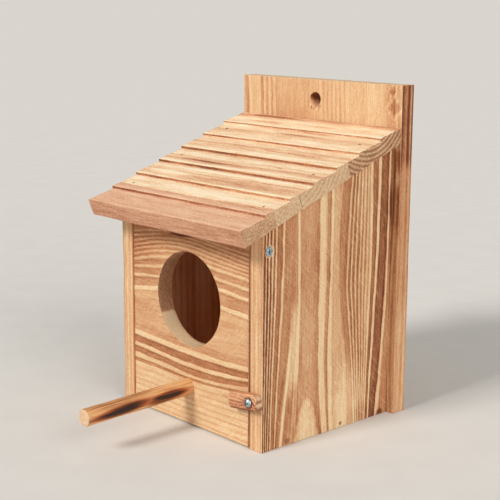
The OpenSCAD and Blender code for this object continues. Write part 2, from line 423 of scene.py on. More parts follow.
def add(tree, kind, inputs=(), shades=(), **settings):
    """One node with its settings. Each input is a value, a socket, or a node that stands for its first live
    output. shades are a colour ramp's (place, hex colour) pairs."""
    made = tree.nodes.new(kind)
    for key, value in settings.items():
        setattr(made, key, value)
    for key, value in inputs.items() if isinstance(inputs, dict) else enumerate(inputs):
        if isinstance(value, bpy.types.Node):
            value = next(output for output in value.outputs if output.enabled)
        if isinstance(value, bpy.types.NodeSocket):
            tree.links.new(value, made.inputs[key])
        else:
            made.inputs[key].default_value = value
    for count, (place, code) in enumerate(shades):
        elements = made.color_ramp.elements
        element = elements[count] if count < 2 else elements.new(place)
        element.position = place
        element.color = linear(code)
    return made


def new_material(name):
    """An empty material, and the call that adds a node to it."""
    made = bpy.data.materials.new(name)
    made.use_nodes = True
    made.node_tree.nodes.clear()
    return made, functools.partial(add, made.node_tree)


def drawn_noise(node, place, along, width, length, detail):
    """Noise from 0 to 1, drawn out along one axis: width and length are in mm."""
    stretch = [1 / (width * MM)] * 3
    stretch[along] = 1 / (length * MM)
    drawn = node("ShaderNodeMapping", {"Vector": place, "Scale": stretch})
    return node(NOISE, {"Vector": drawn, "Scale": 1.0, "Detail": detail})


def streaks(node, place, along, width, length, detail=3.0):
    """The same noise, from -0.5 to 0.5."""
    return node(MATH, (drawn_noise(node, place, along, width, length, detail), 0.5), operation="SUBTRACT")


# Colours from the pale ring lines to the deepest char.
CHARRED = ((0.0, "#eed3aa"), (0.2, "#e2bb8e"), (0.45, "#cf9b71"), (0.7, "#b1754d"), (1.0, "#713c25"))
PEACH = ((0.0, "#fbe9c9"), (0.2, "#f1d0a8"), (0.45, "#dfad86"), (0.7, "#ba7d59"), (1.0, "#804c34"))
PINKISH = ((0.0, "#f3d2b2"), (0.25, "#e8bb98"), (0.5, "#d9a584"), (0.75, "#bd8262"), (1.0, "#8a523b"))
REDDISH = ((0.0, "#f3cfa9"), (0.25, "#e8b68c"), (0.5, "#d99e76"), (0.75, "#b87a56"), (1.0, "#7f4a32"))
SAWN = ((0.3, "#dfc19b"), (0.5, "#d2ae88"), (0.7, "#bf916c"), (1.0, "#936549"))
TOASTED = ((0.0, "#f6c597"), (0.5, "#e8a877"), (1.0, "#c98255"))
SAWN_CHAR = 0.42


def charred_pine(
    name, bands, span, along, face, colours=CHARRED, blotch=0.3, fibre=0.48, scratch=0.2, edge=0.45
):
    """Pine boards torched and then brushed, unsealed: the soft wood between the rings chars to brown and
    the hard ring lines stay pale and stand proud, with fine fibres along the grain, brush scratches at a
    slant, and a dry sheen. bands are the char at each ring place, over span; along is the grain's axis
    and face the broad face's own axis, which the brush scratches turn about."""
    made, node = new_material(name)
    place = node("ShaderNodeTexCoord").outputs["Object"]
    ring, tone, cut, inside = (
        node("ShaderNodeAttribute", attribute_name=key).outputs["Fac"]
        for key in ("ring", "tone", "cut", "inside")
    )

    # Ring lines waver by about half a millimetre over some 20 mm of length, and a finer tremble of a
    # quarter of a millimetre over 5 mm makes the brushed line edges ragged.
    for width, length, reach in ((4, 22, 1.3), (1.2, 5, 0.9)):
        waver = node(MATH, (streaks(node, place, along, width, length, 2.0), reach), operation="MULTIPLY")
        ring = node(MATH, (ring, waver), operation="ADD")
    lo, hi = span
    share = node(MATH, (ring, lo), operation="SUBTRACT")
    share = node(MATH, (share, hi - lo), operation="DIVIDE", use_clamp=True)

    # The char at each ring place, as one curve through the bands' corners.
    curve = node("ShaderNodeFloatCurve", {"Value": share})
    line = curve.mapping.curves[0]
    for count, (mm, char) in enumerate(corners_of(bands, lo, edge)):
        x = min(max((mm - lo) / (hi - lo), 0), 1)
        if count < 2:
            line.points[count].location = (x, char)
        else:
            line.points.new(x, char)
    for point in line.points:
        point.handle_type = "VECTOR"
    curve.mapping.update()

    # Sawn end grain shows no long lines: it has one middling char, with pores of about a millimetre.
    char = node(MIX, {0: cut, 2: curve, 3: SAWN_CHAR}, data_type="FLOAT")
    pores = node(NOISE, {"Vector": place, "Scale": 1 / (1.1 * MM), "Detail": 2.0})
    pores = node(MATH, (pores, 0.5), operation="SUBTRACT")
    pitting = node(MATH, (cut, 0.2, 0.42), operation="MULTIPLY_ADD")
    pitted = node(MATH, (pores, pitting), operation="MULTIPLY")

    # Fibres 1 mm wide and 16 mm long, drawn coarser than the real ones so that they show, and finer hairs.
    strand = streaks(node, place, along, 1.1, 16)
    hair = streaks(node, place, along, 0.45, 5, 1.0)
    # Uneven torching, in blotches 8 mm wide that are four times as long along the grain.
    torch = streaks(node, place, along, 8, 32, 4.0)
    # Brush scratches: pale streaks 1 mm wide and 12 mm long, at some 45 degrees to the grain.
    slant = [0.0, 0.0, 0.0]
    slant[face] = math.radians(-42 if face == 0 else 48)
    slanted = node("ShaderNodeMapping", {"Vector": place, "Rotation": slant})
    rubbed = streaks(node, slanted, 2 if face == 0 else 0, 0.9, 12, 2.0)
    paler = {"Value": rubbed, "From Min": 0.06, "From Max": 0.2, "To Max": -scratch}
    rubbed = node("ShaderNodeMapRange", paler)

    total = node(MATH, (char, tone), operation="ADD")
    total = node(MATH, (total, rubbed), operation="ADD")
    for part, weight in ((strand, fibre), (hair, 0.3), (torch, blotch), (pitted, 1.0)):
        part = node(MATH, (part, weight), operation="MULTIPLY")
        total = node(MATH, (total, part), operation="ADD")
    total = node(MATH, (total, 0.0), operation="MAXIMUM", use_clamp=True)
    # Sawn ends are greyer and paler than the charred faces, and the inner faces, which were never
    # brushed, keep an even, warm toasted brown.
    colour = node(RAMP, (total,), colours)
    for where, shades in ((cut, SAWN), (inside, TOASTED)):
        other = node(RAMP, (total,), shades)
        colour = node(MIX, {0: where, 6: colour, 7: other}, data_type="RGBA")
    height = node(MATH, (hair, 0.6, strand), operation="MULTIPLY_ADD")
    height = node(MATH, (height, total), operation="SUBTRACT")
    shader = node("ShaderNodeBsdfPrincipled", {
        "Base Color": colour,
        "Roughness": node("ShaderNodeMapRange", {"Value": total, "To Min": 0.6, "To Max": 0.82}),
        "Specular IOR Level": 0.3,
        "Normal": node("ShaderNodeBump", {"Height": height, "Strength": 0.8, "Distance": 0.4 * MM}),
    })
    node("ShaderNodeOutputMaterial", {"Surface": shader})
    return made


def scorched_beech(name):
    """Beech dowel, torched: warm orange-tan with fine fibres along it, two licks of near-black char that
    fade through brown, and pale sawn end grain at the tip."""
    made, node = new_material(name)
    place = node("ShaderNodeTexCoord").outputs["Object"]
    scorch, cut = (
        node("ShaderNodeAttribute", attribute_name=key).outputs["Fac"] for key in ("scorch", "cut")
    )
    # Fibres 1 mm wide and broader streaks of 4 mm, both 30 to 40 mm long.
    strand = drawn_noise(node, place, 1, 0.9, 30, 4.0)
    streak = drawn_noise(node, place, 1, 4, 40, 3.0)
    fine = node(MATH, (strand, 0.4), operation="MULTIPLY")
    mixed = node(MATH, (fine, node(MATH, (streak, 0.6), operation="MULTIPLY")), operation="ADD")
    base = node(RAMP, (mixed,), ((0.35, "#94603f"), (0.45, "#c58c5b"), (0.55, "#dfac76"), (0.66, "#ecc592")))
    # The licks' edges follow the fibres.
    uneven = node(MATH, (strand, 3.0, -1.42), operation="MULTIPLY_ADD")
    uneven = node(MATH, (uneven, scorch), operation="MULTIPLY")
    licked = node(MATH, (scorch, uneven), operation="ADD", use_clamp=True)
    burnt = ((0.0, "#ffffff"), (0.25, "#dba880"), (0.5, "#9a6a50"), (0.75, "#54392f"), (1.0, "#33272a"))
    char = node(RAMP, (licked,), burnt)
    colour = node(MIX, {0: 1.0, 6: base, 7: char}, data_type="RGBA", blend_type="MULTIPLY")
    pores = node(NOISE, {"Vector": place, "Scale": 1 / (0.8 * MM), "Detail": 2.0})
    sawn = node(RAMP, (pores,), ((0.35, "#cfa27c"), (0.65, "#efd3b0")))
    shader = node("ShaderNodeBsdfPrincipled", {
        "Base Color": node(MIX, {0: cut, 6: colour, 7: sawn}, data_type="RGBA"),
        "Roughness": 0.55,
        "Specular IOR Level": 0.4,
        "Normal": node("ShaderNodeBump", {"Height": strand, "Strength": 0.4, "Distance": 0.2 * MM}),
    })
    node("ShaderNodeOutputMaterial", {"Surface": shader})
    return made


def plated_steel(name, bright, dull, roughness):
    """Steel with a thin plating, as it leaves the barrel: softly mottled over 1 mm, with a satin shine."""
    made, node = new_material(name)
    place = node("ShaderNodeTexCoord").outputs["Object"]
    mottle = node(NOISE, {"Vector": place, "Scale": 1 / (1.2 * MM), "Detail": 3.0})
    rough = {"Value": mottle, "To Min": roughness - 0.06, "To Max": roughness + 0.1}
    shader = node("ShaderNodeBsdfPrincipled", {
        "Base Color": node(RAMP, (mottle,), ((0.35, dull), (0.65, bright))),
        "Metallic": 1.0,
        "Roughness": node("ShaderNodeMapRange", rough),
        "Normal": node("ShaderNodeBump", {"Height": mottle, "Strength": 0.2, "Distance": 0.05 * MM}),
    })
    node("ShaderNodeOutputMaterial", {"Surface": shader})
    return made


def matt_paint(name):
    """Matt pale grey paint with the faintest mottling and no gloss."""
    made, node = new_material(name)
    place = node("ShaderNodeTexCoord").outputs["Object"]
    mottle = node(NOISE, {"Vector": place, "Scale": 30.0, "Detail": 2.0})
    shader = node("ShaderNodeBsdfPrincipled", {
        "Base Color": node(RAMP, (mottle,), ((0.3, "#dfddd9"), (0.7, "#e2e0dc"))),
        "Roughness": 0.9,
        "Specular IOR Level": 0.0,
    })
    node("ShaderNodeOutputMaterial", {"Surface": shader})
    return made


# Side panels: (upper edge of a band in mm from the front, char)
SIDE_BANDS = [
    (1.2, 0.2), (2.5, 1.15), (3.6, 0.12), (5.0, 1.2), (6.2, 0.12), (7.6, 1.15), (8.9, 0.16), (10.3, 1.0),
    (11.9, 0.12), (16.4, 0.72), (18.0, 0.1), (28.0, 0.6), (30.9, 0.5), (33.6, 0.08),
    (50.5, 0.48), (55.8, 0.1), (57.0, 0.35), (60.2, 0.62), (62.8, 0.08), (69.2, 0.36), (76.2, 0.66),
    (77.8, 0.2), (80.0, 0.78), (81.4, 0.16), (83.7, 0.76), (85.1, 0.16), (87.3, 0.72), (88.7, 0.18),
    (90.8, 0.7), (92.2, 0.15), (94.2, 0.65), (95.6, 0.18), (97.2, 0.55), (99.6, 0.1), (103.8, 0.78),
    (106.4, 0.1), (115.0, 0.88), (117.0, 0.1), (120.5, 0.62),
]
# How far up the side the ring lines are measured, then each line's ring value and its places from the front
SIDE_STATIONS = (0, 22, 47, 72, 96, 120, 150, 189)
SIDE_GUIDES = [
    (0.0, (0, 0, 0, 0, 0, 0, 0, 0)),
    (11.2, (7.6, 8.2, 9.0, 10.2, 11.2, 11.8, 12.2, 12.5)),
    (17.2, (11.7, 12.5, 13.8, 15.5, 17.2, 18.0, 18.8, 19.3)),
    (26.2, (16.2, 18.8, 22.2, 25.0, 27.3, 28.0, 28.0, 28.0)),
    (32.5, (29.0, 29.6, 31.0, 31.8, 32.3, 32.0, 31.2, 30.8)),
    (53.0, (58.5, 55.8, 53.5, 53.0, 53.0, 53.0, 53.0, 53.0)),
    (61.5, (62.5, 61.3, 60.5, 60.5, 61.3, 62.0, 62.0, 61.7)),
    (69.2, (79.5, 78.5, 77.3, 73.3, 70.0, 68.7, 69.5, 76.0)),
    (77.0, (86.7, 85.0, 82.5, 79.7, 77.0, 77.5, 79.0, 82.0)),
    (98.3, (96.7, 97.0, 98.0, 98.6, 99.2, 99.5, 99.2, 98.3)),
    (105.3, (100.0, 101.0, 102.5, 104.0, 105.3, 106.6, 107.2, 107.5)),
    (116.0, (108.0, 110.0, 112.5, 114.5, 116.0, 116.5, 116.7, 116.7)),
    (120.0, (120.0, 120.0, 120.0, 120.0, 120.0, 120.0, 120.0, 120.0)),
]

# Front: (upper edge of a band in mm above the floor's underside at its left edge, char)
FRONT_BANDS = [
    (3.0, 0.12), (4.2, 0.3), (7.0, 0.1), (8.2, 0.28), (11.0, 0.1), (12.4, 0.3), (15.2, 0.08), (16.4, 0.28),
    (19.4, 0.1), (20.6, 0.3), (23.4, 0.1), (24.6, 0.28), (27.6, 0.12), (28.8, 0.3), (32.6, 0.14),
    (35.4, 0.62), (39.2, 0.2), (43.8, 0.68), (46.6, 0.14), (51.8, 0.72), (55.6, 0.12), (60.0, 0.5),
    (70.0, 0.38), (78.0, 0.44), (83.8, 0.36), (86.6, 0.12), (93.6, 0.5), (95.6, 0.1), (99.6, 0.52),
    (101.4, 0.12), (104.6, 0.52), (106.4, 0.14), (108.6, 0.55), (109.8, 0.2), (111.8, 0.6), (113.0, 0.22),
    (115.0, 0.62), (116.2, 0.25), (118.2, 0.66), (119.4, 0.3), (121.6, 0.68), (123.0, 0.35), (125.2, 0.72),
    (126.6, 0.4), (130.0, 0.72), (131.4, 0.45), (142.5, 0.7),
]
# The front's stations run across it, and its lines' places up it.
FRONT_STATIONS = (-60, -30, 0, 30, 60)
FRONT_GUIDES = [
    (0.0, (0, 0, 0, 0, 0)),
    (33.3, (33.3, 33.0, 32.5, 34.0, 36.0)),
    (38.8, (38.8, 37.5, 35.5, 36.5, 41.0)),
    (45.8, (45.8, 44.5, 43.0, 43.6, 46.0)),
    (55.0, (55.0, 53.6, 52.6, 52.5, 53.5)),
    (85.0, (85.0, 89.5, 91.0, 88.5, 86.7)),
    (94.7, (94.7, 98.0, 101.0, 100.0, 98.3)),
    (100.5, (100.5, 105.0, 108.0, 106.4, 104.5)),
    (105.5, (105.5, 112.0, 114.5, 112.8, 110.8)),
    (113.0, (113.0, 120.0, 122.0, 119.2, 116.5)),
    (121.0, (121.0, 126.5, 128.5, 126.0, 123.0)),
    (130.0, (130.0, 133.0, 133.0, 131.5, 130.0)),
    (142.0, (142.0, 142.0, 142.0, 142.0, 142.0)),
]

# Back board: (upper edge of a band in mm from its left edge seen from the front, char)
BACK_BANDS = [
    (3.0, 0.3), (6.0, 0.55), (9.0, 0.15), (14.0, 0.25), (19.0, 0.2), (22.0, 0.5), (24.5, 0.15), (27.0, 0.45),
    (29.5, 0.15), (32.0, 0.42), (35.0, 0.18), (55.0, 0.32), (70.0, 0.36), (80.0, 0.3), (83.0, 0.2),
    (84.5, 0.4), (87.0, 0.2), (88.5, 0.42), (91.0, 0.2), (92.5, 0.4), (95.0, 0.2), (96.5, 0.42), (99.0, 0.2),
    (100.5, 0.4), (103.5, 0.2), (105.0, 0.38), (108.0, 0.2), (125.0, 0.24), (140.0, 0.2), (143.0, 0.3),
    (150.0, 0.42), (152.0, 0.2), (154.0, 0.5), (156.5, 0.3),
]

# Roof: (upper edge of a band in mm up the slope from the eave, char)
ROOF_BANDS = [
    (6.0, 0.44), (12.0, 0.38), (17.0, 0.44), (24.0, 0.34), (29.5, 0.46), (32.0, 0.2), (36.0, 0.12),
    (38.0, 0.26), (43.0, 0.14), (46.0, 0.2), (49.0, 0.34), (54.0, 0.4), (58.0, 0.34), (60.0, 0.2),
    (61.0, 0.32), (64.0, 0.06), (67.0, 0.34), (70.0, 0.12), (72.0, 0.3), (75.0, 0.44), (78.0, 0.2),
    (80.0, 0.34), (86.0, 0.14), (90.0, 0.24), (94.0, 0.16), (97.0, 0.3), (100.0, 0.22), (103.0, 0.38),
    (108.0, 0.22), (112.0, 0.16), (118.0, 0.2), (122.0, 0.26), (126.0, 0.32), (131.0, 0.2), (136.0, 0.14),
    (141.0, 0.2), (145.0, 0.14), (148.0, 0.3), (152.5, 0.55), (155.0, 0.35),
]

# Roof: soft streaks as ((up the slope, across), (half width, half length), change of char)
ROOF_STREAKS = [
    ((73, -32), (2.2, 36), 0.34), ((76, -20), (1.4, 30), 0.2), ((100, 22), (2.2, 48), 0.3),
    ((97, -28), (1.6, 30), 0.18), ((126, 10), (1.6, 26), 0.3), ((139, -38), (1.8, 24), 0.22),
    ((141, 14), (2.0, 20), 0.2), ((149, -42), (2.4, 26), 0.3), ((52, 24), (5.5, 60), 0.14),
    ((51.5, -50), (4.5, 26), -0.34), ((36, 10), (4.0, 60), -0.16), ((62.8, 0), (2.0, 90), -0.34),
    ((117, 30), (3.0, 34), -0.14), ((92, 0), (2.5, 60), -0.1), ((113.8, 59.5), (1.2, 1.6), 0.4),
    ((80, 34), (1.0, 3.0), 0.4), ((87.2, 0), (0.9, 90), 0.1), ((131.4, 0), (0.9, 90), 0.16),
    ((89.0, 0), (1.3, 90), 0.1), ((133.2, 0), (1.3, 90), 0.1), ((44.9, 0), (1.3, 90), -0.1),
]

# Turn button: (upper edge of a band in mm across it, char)
BUTTON_BANDS = [
    (7.0, 0.5), (8.0, 0.38), (9.2, 0.58), (10.2, 0.36), (11.6, 0.6), (12.6, 0.34), (13.8, 0.62), (14.8, 0.4),
    (16.2, 0.55), (17.2, 0.34), (24.0, 0.5),
]

FLOOR_BANDS = random_bands(5, 0, 110, 9, 2)

side_wood = charred_pine("side_wood_charred_pine", SIDE_BANDS, (0, 120.5), 2, 0)
front_wood = charred_pine("front_wood_charred_pine", FRONT_BANDS, (0, 142.5), 0, 1, blotch=0.24, scratch=0.1)
back_wood = charred_pine("back_wood_charred_pine", BACK_BANDS, (0, 156.5), 2, 1, blotch=0.2, scratch=0.06)
roof_wood = charred_pine("roof_wood_charred_pine", ROOF_BANDS, (0, 155.0), 0, 2, PEACH, 0.42, 0.7, 0.12, 0.9)
eave_wood = charred_pine("eave_wood_charred_pine", ROOF_BANDS, (0, 155.0), 0, 2, PINKISH, 0.4, 0.7, 0.24, 0.9)
floor_wood = charred_pine("floor_wood_charred_pine", FLOOR_BANDS, (0, 118.0), 0, 2)
button_wood = charred_pine("button_wood_charred_pine", BUTTON_BANDS, (4, 24), 0, 1, REDDISH)


# ---- Boards ----

# Side: soft spots as ((in from the front, up), (half width, half length), change of char)
SIDE_SPOTS = [
    ((119, 148), (4, 16), 0.3), ((42, 112), (10, 30), 0.06), ((41, 62), (6, 22), -0.08),
    ((81, 12), (16, 38), -0.34), ((93, 6), (8, 10), 0.2), ((112, 1), (4, 4), 0.6),
    ((90, 160), (7, 30), -0.12), ((43.7, 21.8), (1.5, 1.1), 0.6),
]
# Front: soft spots as ((up, across), (half width, half length), change of char)
FRONT_SPOTS = [
    ((70, -48), (12, 14), 0.05), ((93, 47), (5, 14), 0.1), ((74, 47), (6, 16), -0.08),
    ((110, -52), (22, 24), 0.16),
]
# Front: dark streaks near the top as (middle across, middle up, lean, half length)
FRONT_STREAKS = ((-30, 133, -0.16, 34), (2, 136.5, -0.12, 30), (-6, 130, 0.1, 26), (34, 134, -0.14, 28))
# Back board: knots as (across, up, half width, half height)
KNOTS = ((71, 212, 5.5, 6.5), (69, 223, 3.2, 3.8))
# Roof staves' ends: (the growth rings' centre up the slope and above the underside, their spacing, their
# depth of tone, its middle)
END_RINGS = (
    (14, 60, 2.6, 0.04, 0.24),
    (62, 34, 3.4, 0.06, 0.06),
    (44, 50, 3.4, 0.09, 0.06),
    (128, 36, 3.1, 0.24, 0.34),
)


def relief(points, normal, char, amount, seed, along):
    """Brushed surface: charred soft wood lies lower than the hard lines, by up to amount mm, and the whole
    face waves a little. It only moves points inwards."""
    size = [9.0, 9.0, 9.0]
    size[along] = 45.0
    depth = amount * np.clip(char, 0, 1) + 0.08 * (1 + waves(points, seed, size))
    return points - normal * np.clip(depth, 0, None)[:, None]


def char_at(ring, bands):
    """The bands' char at ring places, along the same corners as the colour."""
    places, chars = np.array(corners_of(bands)).T
    return np.interp(ring, places, chars)


def side_panel(name, sign, node):
    """A side: distance from the front by height by thickness. The lattice is a full-height rectangle, whose
    heights are then multiplied by the slant."""
    full = FRONT_H + RISE

    def slant(t):
        """The share of the full height that the roof's slope leaves at a distance from the front."""
        return (FRONT_H + RISE * t / BODY_DEPTH) / full

    pivot_row = PIVOT_Z / slant(PIVOT_IN)
    rim = 2.8
    a = stops(0, BODY_DEPTH, 0.62, [n[0] for n in FLOOR_NAILS] + [PIVOT_IN - rim, PIVOT_IN, PIVOT_IN + rim])
    c = stops(0, full, 2.2, [FLOOR_NAILS[0][1] / slant(50.0), pivot_row - rim, pivot_row, pivot_row + rim])
    d = stops(0, BOARD_T, 1.6)
    points, quads = weld(slab_grids(a, c, d))
    points = ease_edges(points, (0, 0, 0), (BODY_DEPTH, full, BOARD_T))
    points[:, 1] *= slant(points[:, 0])
    for spot in FLOOR_NAILS:
        sink(points, spot, nail_dent)
    sink(points, (PIVOT_IN, PIVOT_Z), countersink)
    across, up, deep = points.T
    ring = ring_between(across, up, SIDE_STATIONS, SIDE_GUIDES) if sign > 0 else across + 3 * np.sin(up / 40)
    tone = np.zeros(len(points))
    if sign > 0:
        # The pale wedge between two ring lines, which narrows upwards and runs on as a line to the bottom,
        # with dark wood on both sides of it.
        wedge = smooth((ring - 25.0) / 1.6) * smooth((31.8 - ring) / 1.2)
        tone -= 0.3 * wedge * smooth((up - 30) / 20) * smooth((100 - up) / 18)
        off = across - curve_through(up, SIDE_STATIONS, SIDE_GUIDES[3][1]) - 0.6
        tone -= 0.56 * smooth(1.3 - np.abs(off) / 1.4) * smooth((80 - up) / 30)
        tone += 0.24 * line(off - 4, 3) * smooth((40 - up) / 15)
        tone += 0.2 * line(off + 4, 2.5) * smooth((60 - up) / 30)
        tone += 0.36 * line(ring - 32.2, 2.6) * smooth((48 - up) / 14)
        # Deep char and painted shade in the corner against the back board, from half way up.
        tone += 0.14 * smooth((across - 116.5) / 2) * smooth((up - 95) / 30)
        # The cathedral peak of pale wood at the bottom, with its darker outline.
        peak = 1.9 * np.sqrt(np.clip(28.5 - up, 0, None)) + 0.4 * np.sin(up * 0.7)
        off = np.abs(across - 40.5) - peak
        tone -= 0.36 * smooth(-off / 4.5 + 0.5) * smooth((31 - up) / 6)
        tone += 0.18 * line(off - 2.4, 2.6) * smooth((27 - up) / 8)
        tone += patches(across, up, SIDE_SPOTS)
    for spot in FLOOR_NAILS:
        tone += 0.5 * smooth((NAIL_R + 0.5 - np.hypot(across - spot[0], up - spot[1])) / 0.8)
    tone -= 0.28 * smooth(SINK_R + 1.0 - np.hypot(across - PIVOT_IN, up - PIVOT_Z)) * (deep > 8)
    inside = smooth((1.0 - deep) / 0.5)
    face_ring = ring
    # On the narrow front edge the rings run through the thickness, darkest in its inner corner.
    front_edge = across < 1.0
    ring = np.where(front_edge, 36 + deep, ring + (BOARD_T - deep) * 0.25 * (deep < 11.0))
    ring = ring + inside * (42 - ring) * 0.6
    tone = np.where(inside > 0.5, 0.16 * np.sin(across * 1.05) + 0.1 * np.sin(across * 2.3 + 1), tone)
    lifted = np.stack([sign * (side_lo[0] + deep), FRONT_Y + across, up], 1)
    shell, normal = skin(lifted, quads)
    cut = end_grain(normal[:, 2])
    lines = 0.12 * np.sin(deep * 2.4 + 0.6 * np.sin(up / 30)) + 0.08 * np.sin(deep * 5.1 + 1)
    tone = np.where(front_edge, -0.16 + lines + 0.7 * smooth((1.3 - deep) / 0.5), tone)
    char = char_at(face_ring, SIDE_BANDS) + tone
    lifted = relief(lifted, normal, char * (1 - cut), 0.22, 11 + sign, 2)
    values = {"ring": ring, "tone": tone, "cut": cut, "inside": inside}
    piece(name, lifted, shell, values, side_wood, "box", "side_wood", node)


def front_panel():
    """The tip-out front: width by height by thickness, with the round entrance through it."""
    low, high = door_lo[2], door_hi[2]
    half = door_hi[0]
    block = 40.0
    a = stops(-half, half, 2.0, [-block, block, 0], reach=1.0, fine=0.5)
    c = stops(low, high, 0.66, [ENTRANCE_Z - block, ENTRANCE_Z + block, PERCH_Z], reach=0.6, fine=0.3)
    d = stops(0, BOARD_T, 1.4)
    centre = np.array([0.0, ENTRANCE_Z])
    points, quads = weld(slab_grids(a, c, d, (centre, ENTRANCE_R, block, 14)))
    points = ease_edges(points, (-half, low, 0), (half, high, BOARD_T))
    points = ease_bore(points, centre, ENTRANCE_R)
    x, z, deep = points.T
    ring = ring_between(z, x, FRONT_STATIONS, FRONT_GUIDES)
    tone = patches(z, x, FRONT_SPOTS)
    # Painted shade in a band along the top, under the eave, and darker on the rounded edges against the
    # sides.
    tone += 0.18 * smooth((z - high + 5.5) / 4) + 0.26 * smooth((np.abs(x) - half + 0.8) / 0.6)
    tone -= 0.03 * smooth((z - 122) / 8) - 0.07 * smooth((34 - z) / 4)
    # Dark streaks that cross the rings near the top, where the board was cut close to the tree's heart.
    for x_mid, z_mid, lean, reach in FRONT_STREAKS:
        off = np.hypot((z - z_mid - lean * (x - x_mid)) / 1.1, (x - x_mid) / reach)
        tone += 0.42 * smooth(1.3 - off)
    inside = smooth((deep - 11.0) / 0.6)
    lifted = np.stack([x, FRONT_Y + deep, z], 1)
    shell, normal = skin(lifted, quads)
    cut = end_grain(normal[:, 0], 1.5, 0.25)
    in_bore = smooth((ENTRANCE_R + 1 - np.hypot(x, z - ENTRANCE_Z)) / 0.6)
    ring = ring + deep * 0.3
    char = char_at(ring, FRONT_BANDS)
    lifted = relief(lifted, normal, (char + tone) * (1 - cut), 0.2, 21, 0)
    # The bore's up-facing lower wall is pale, partly the drilled wood's own colour and partly painted light
    # from above; its end grain to the sides took more of the torch and also has painted shade.
    lit_lower_wall = smooth((normal[:, 2] - 0.42) / 0.08)
    lines = 0.05 * np.sin(x * 3.1 + deep * 1.2) + 0.04 * np.sin(x * 5.3 - deep)
    tone = tone * (1 - in_bore) + in_bore * (1 - lit_lower_wall) * 0.46 * cut
    tone += in_bore * lit_lower_wall * (0.1 + lines - char * (1 - cut) - SAWN_CHAR * cut)
    values = {"ring": ring, "tone": tone, "cut": cut, "inside": inside}
    piece("front_panel", lifted, shell, values, front_wood, "door", "door_wood", "front_door")


def back_panel():
    """The back board: width by height by thickness, with its hanging hole near the top."""
    half, high = back_hi[0], back_hi[2]
    block = 9.0
    a_marks = [HANG_X - block, HANG_X, HANG_X + block, -NAIL_OUT, NAIL_OUT]
    c_marks = [*BACK_NAILS, HANG_Z - block, HANG_Z, HANG_Z + block]
    a = stops(-half, half, 0.95, a_marks, reach=1.9, fine=0.4)
    c = stops(0, high, 2.6, c_marks, reach=1.9, fine=0.45)
    d = stops(0, BOARD_T, 2.0)
    centre = np.array([HANG_X, HANG_Z])
    points, quads = weld(slab_grids(a, c, d, (centre, HANG_R, block, 9)))
    points = ease_edges(points, (-half, 0, 0), (half, high, BOARD_T))
    points = ease_bore(points, centre, HANG_R)
    for side in (-1, 1):
        for nail_z in BACK_NAILS:
            sink(points, (side * NAIL_OUT, nail_z), nail_dent)
    x, z, deep = points.T
    ring = x + half + 1.6 * np.sin(z / 33) + deep * 0.3
    tone = patches(x, z, [((-26, 198), (20, 16), 0.12)])
    edge = smooth((np.abs(x) - half + 0.6) / 0.4)
    # Two small knots near the upper right corner: brown lozenges inside pale wavy outlines.
    for x_mid, z_mid, wide, tall in KNOTS:
        off = np.abs(x - x_mid) / wide + np.abs(z - z_mid) / tall + 0.12 * np.sin(z * 1.7 + x)
        knot = 0.24 * smooth((1.05 - off) / 0.4) - 0.26 * line(off - 1.3, 0.22)
        tone += knot * (1 - edge)
    inside = smooth((CHAMBER_X - np.abs(x)) / 1.5) * smooth((180 - z) / 2) * smooth((1 - deep) / 0.5)
    ring = ring + inside * (60 - ring) * 0.85
    lifted = np.stack([x, back_lo[1] + deep, z], 1)
    shell, normal = skin(lifted, quads)
    # The narrow long edges are charred in lines, deepest near the top. The margin of the front face beside
    # the box has painted shade, deeper higher up.
    lines = smooth(np.sin(deep * 1.35 - 0.6) * 0.9 + 0.5) * (0.3 + 0.5 * smooth((z - 168) / 12))
    tone += edge * (0.12 + lines - 0.18 * smooth((110 - z) / 60))
    corner_shade = smooth((np.abs(x) - 71.4) / 0.8) * (1 - edge) * smooth((186 - z) / 4) * (deep < 6)
    tone += corner_shade * (0.14 + 0.26 * smooth((z - 118) / 20)) + patches(x, z, [((75.5, 165), (2.2, 8), -0.5)])
    cut = end_grain(normal[:, 2])
    char = char_at(ring, BACK_BANDS) + tone
    lifted = relief(lifted, normal, char * (1 - cut), 0.18, 31, 2)
    # The hanging hole has painted shade in its upper part and deeper in, and is pale, warm toasted wood in
    # its lower part; its lower rim is torn in short pale fibres.
    r = np.hypot(x - HANG_X, z - HANG_Z)
    in_hole = smooth((HANG_R + 0.8 - r) / 0.6)
    hole_shade = smooth(0.45 + 0.22 * (z - HANG_Z) + 0.06 * (deep - 3))
    torn = line(r - HANG_R - 1.2, 2.2) * smooth((HANG_Z - z) / 4) * (deep < 1)
    tone += in_hole * (0.95 * hole_shade - 0.2 + 0.16 * waves(points, 32, (2.0, 2.0, 2.0)))
    tone += torn * (1 - in_hole) * 0.34 * waves(points, 33, (1.4, 5.0, 5.0))
    cut = cut * (1 - in_hole)
    inside = np.maximum(inside, in_hole * (1 - hole_shade))
    values = {"ring": ring, "tone": tone, "cut": cut, "inside": inside}
    piece("back_panel", lifted, shell, values, back_wood, "box", "back_wood", "back_board")


def bottom_panel():
    """The floor board: width by depth by thickness, grain across the box."""
    a = stops(floor_lo[0], floor_hi[0], 3.0)
    c = stops(floor_lo[1], floor_hi[1], 1.2)
    points, quads = weld(slab_grids(a, c, stops(0, FLOOR_T, 1.5)))
    points = ease_edges(points, (a[0], c[0], 0), (a[-1], c[-1], FLOOR_T))
    shell, normal = skin(points, quads)
    ring = points[:, 1] - floor_lo[1] + 2.5 * np.sin(points[:, 0] / 30) + points[:, 2] * 0.4
    cut = end_grain(normal[:, 0])
    lifted = relief(points, normal, char_at(ring, FLOOR_BANDS) * (1 - cut), 0.2, 41, 0)
    values = {"ring": ring, "tone": np.zeros(len(ring)), "cut": cut, "inside": smooth(points[:, 2] - 5)}
    piece("bottom_panel", lifted, shell, values, floor_wood, "box", "floor_wood", "floor_board")


